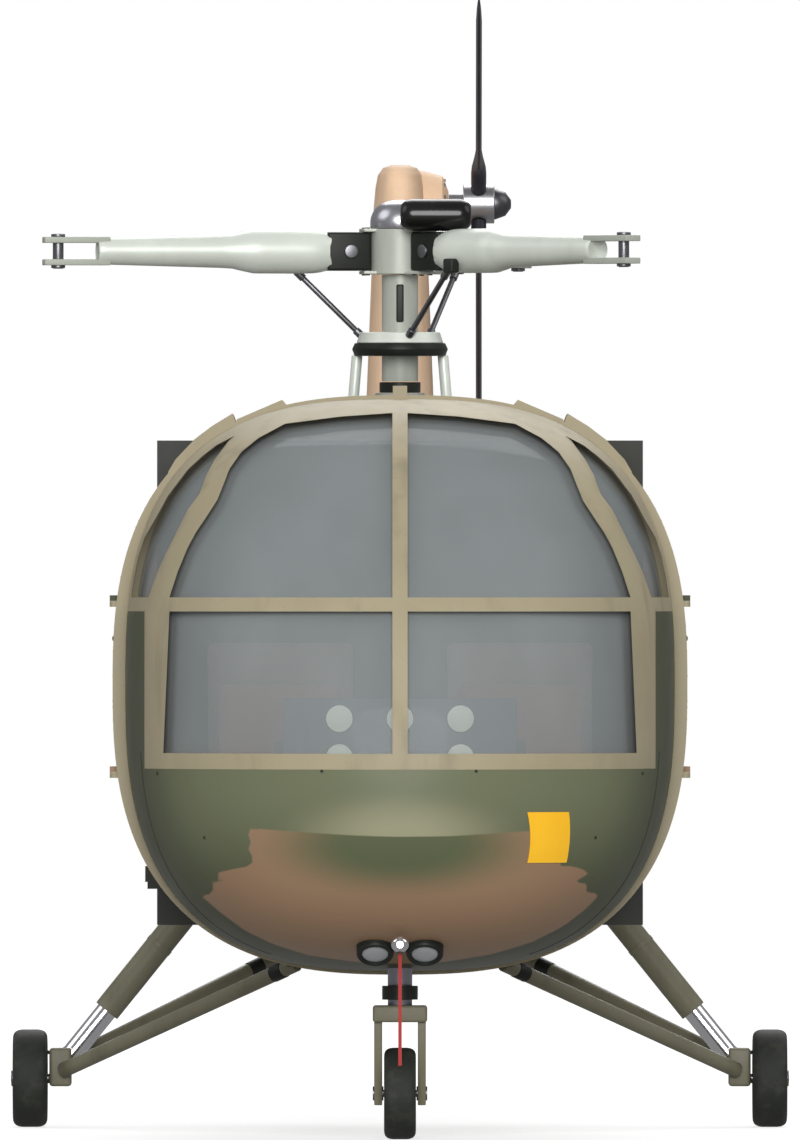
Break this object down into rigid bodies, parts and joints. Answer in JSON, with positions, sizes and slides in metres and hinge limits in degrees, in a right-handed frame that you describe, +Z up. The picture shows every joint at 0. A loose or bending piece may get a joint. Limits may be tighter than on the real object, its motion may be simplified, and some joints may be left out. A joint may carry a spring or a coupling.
{
  "type": "light utility helicopter",
  "caption": "Light turbine utility helicopter parked on wheeled gear: glazed nose cabin, centre box, tail boom with pylon and side tail rotor, bladeless main rotor head.",
  "frame": {"origin": "on the ground under the middle of the aircraft's bounding box", "axes": "+Z up, nose towards -Y, port side at +X"},
  "size_m": [2.735, 10.6206, 4.0428],
  "materials": {
    "skin_beige": "matt grey-beige paint on alloy skin and frames",
    "skin_green": "satin dark green paint with a brown camouflage patch",
    "skin_tan": "matt tan paint",
    "glass": "grey-tinted clear acrylic",
    "dark_panel": "matt dark grey paint",
    "console_grey": "matt blue-grey crackle paint",
    "seat_cloth": "dusty pink-brown woven cloth over foam",
    "black_paint": "satin black paint",
    "steel": "worn bare steel",
    "chrome": "polished chrome plate",
    "light_alloy": "satin pale grey-green alloy",
    "gear_green": "satin olive drab paint",
    "rubber": "matt black rubber",
    "blade_black": "satin black paint with worn edges",
    "red_cloth": "thin red woven tape"
  },
  "bodies": {
    "airframe": {"nose_shell": "skin_green", "windscreen_frame": "skin_beige", "windscreen_glass_upper": "glass", "windscreen_glass_lower": "glass", "cabin_shell": "skin_beige", "rear_door_left": "skin_beige", "rear_door_right": "skin_beige", "rear_door_glass_left": "glass", "rear_door_glass_right": "glass", "cabin_bulkhead": "dark_panel", "cabin_floor": "dark_panel", "front_seat_left": "seat_cloth", "front_seat_right": "seat_cloth", "rear_seat_left": "seat_cloth", "rear_seat_right": "seat_cloth", "instrument_console": "console_grey", "centre_section": "skin_green", "main_gearbox": "steel", "engine": "steel", "exhaust_pipe": "steel", "tail_boom": "skin_green", "tail_pylon": "skin_tan", "tailplane_left": "skin_tan", "tailplane_right": "skin_tan", "swashplate_lower": "black_paint", "nose_strut": "steel", "gear_leg_left": "gear_green", "gear_leg_right": "gear_green", "oleo_cylinder_left": "gear_green", "oleo_cylinder_right": "gear_green", "oleo_piston_left": "chrome", "oleo_piston_right": "chrome", "landing_lamp_left": "black_paint", "landing_lamp_right": "black_paint", "pitot_probe": "chrome", "streamer": "red_cloth"},
    "main_rotor": {"rotor_mast": "light_alloy", "rotor_hub": "steel", "blade_arm_1": "light_alloy", "blade_arm_2": "light_alloy", "blade_arm_3": "light_alloy", "hub_dome": "steel", "hub_canister": "black_paint", "swashplate_upper": "chrome"},
    "tail_rotor": {"tail_rotor_hub": "steel", "tail_blade_1": "blade_black", "tail_blade_2": "blade_black", "tail_blade_3": "blade_black"},
    "door_left": {"front_door_left": "skin_beige", "front_door_glass_left": "glass"},
    "door_right": {"front_door_right": "skin_beige", "front_door_glass_right": "glass"},
    "nose_castor": {"nose_fork": "gear_green"},
    "nose_wheel": {"nose_tyre": "rubber", "nose_rim": "gear_green"},
    "main_wheel_left": {"main_left_tyre": "rubber", "main_left_rim": "gear_green"},
    "main_wheel_right": {"main_right_tyre": "rubber", "main_right_rim": "gear_green"}
  },
  "joints": [
    {"name": "main_rotor_spin", "type": "hinge", "parent": "airframe", "child": "main_rotor", "pos_m": [0, -2.005, 3.07], "axis": [0, 0, 1], "continuous": true},
    {"name": "tail_rotor_spin", "type": "hinge", "parent": "airframe", "child": "tail_rotor", "pos_m": [0.288, 4.365, 3.297], "axis": [1, 0, 0], "continuous": true},
    {"name": "front_door_left_hinge", "type": "hinge", "parent": "airframe", "child": "door_left", "pos_m": [0.992, -3.8, 1.545], "axis": [0, 0, -1], "range_deg": [0, 75]},
    {"name": "front_door_right_hinge", "type": "hinge", "parent": "airframe", "child": "door_right", "pos_m": [-0.992, -3.8, 1.545], "axis": [0, 0, 1], "range_deg": [0, 75]},
    {"name": "nose_castor_swivel", "type": "hinge", "parent": "airframe", "child": "nose_castor", "pos_m": [0, -4.25, 0.43], "axis": [0, 0, 1], "continuous": true},
    {"name": "nose_wheel_spin", "type": "hinge", "parent": "nose_castor", "child": "nose_wheel", "pos_m": [0, -4.2, 0.1575], "axis": [1, 0, 0], "continuous": true},
    {"name": "main_wheel_left_spin", "type": "hinge", "parent": "airframe", "child": "main_wheel_left", "pos_m": [1.2995, -1.285, 0.1714], "axis": [1, 0, 0], "continuous": true},
    {"name": "main_wheel_right_spin", "type": "hinge", "parent": "airframe", "child": "main_wheel_right", "pos_m": [-1.2995, -1.285, 0.1714], "axis": [1, 0, 0], "continuous": true}
  ]
}
